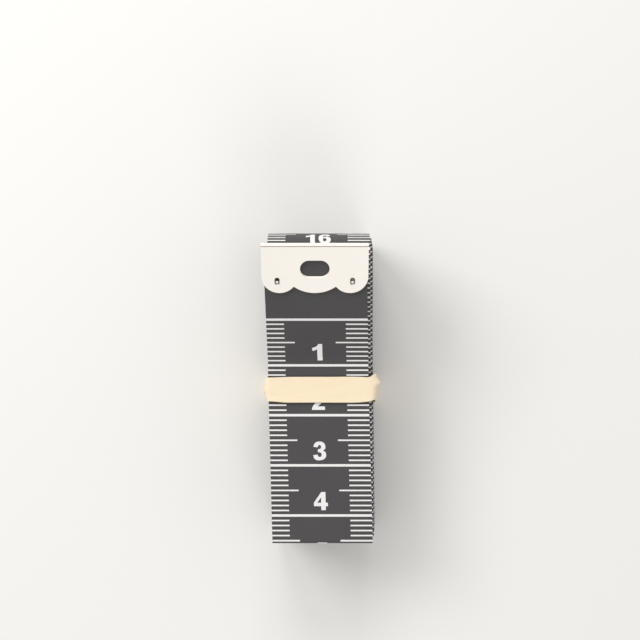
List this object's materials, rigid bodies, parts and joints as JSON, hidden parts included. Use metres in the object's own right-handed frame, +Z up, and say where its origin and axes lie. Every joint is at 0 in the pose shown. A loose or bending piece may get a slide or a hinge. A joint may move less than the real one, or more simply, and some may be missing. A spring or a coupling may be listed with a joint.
{
  "type": "cloth tape measure",
  "caption": "Dark coated cloth tape with a white centimetre scale, wound into a flat bundle with an enamelled end clip and held by a flat elastic band.",
  "frame": {"origin": "middle of the foot of the part's box, on the surface that the bundle lies on", "axes": "+Z up out of the printed face of the outer turn, +Y along the bundle towards the free end, +X across the tape to the right of the scale"},
  "size_m": [0.0236, 0.0616, 0.0348],
  "materials": {
    "tape": "coated cloth with a low sheen",
    "ferrule": "cream enamel on folded sheet metal",
    "rivet": "bright tubular rivet",
    "band": "cream elastic"
  },
  "bodies": {
    "bundle": {"tape_winding": "tape", "end_ferrule": "ferrule", "end_rivet_left": "rivet", "end_rivet_right": "rivet"},
    "free_end": {"tape_free_end": "tape", "start_ferrule": "ferrule", "start_rivet_left": "rivet", "start_rivet_right": "rivet"},
    "band": {"elastic_band": "band"}
  },
  "joints": [
    {"name": "free_end_lift", "type": "hinge", "parent": "bundle", "child": "free_end", "pos_m": [0, 0.00468, 0.02352], "axis": [1, 0, 0], "range_deg": [0, 60]},
    {"name": "band_slide", "type": "slide", "parent": "bundle", "child": "band", "axis": [0, 1, 0], "range_m": [-0.016, 0]}
  ]
}
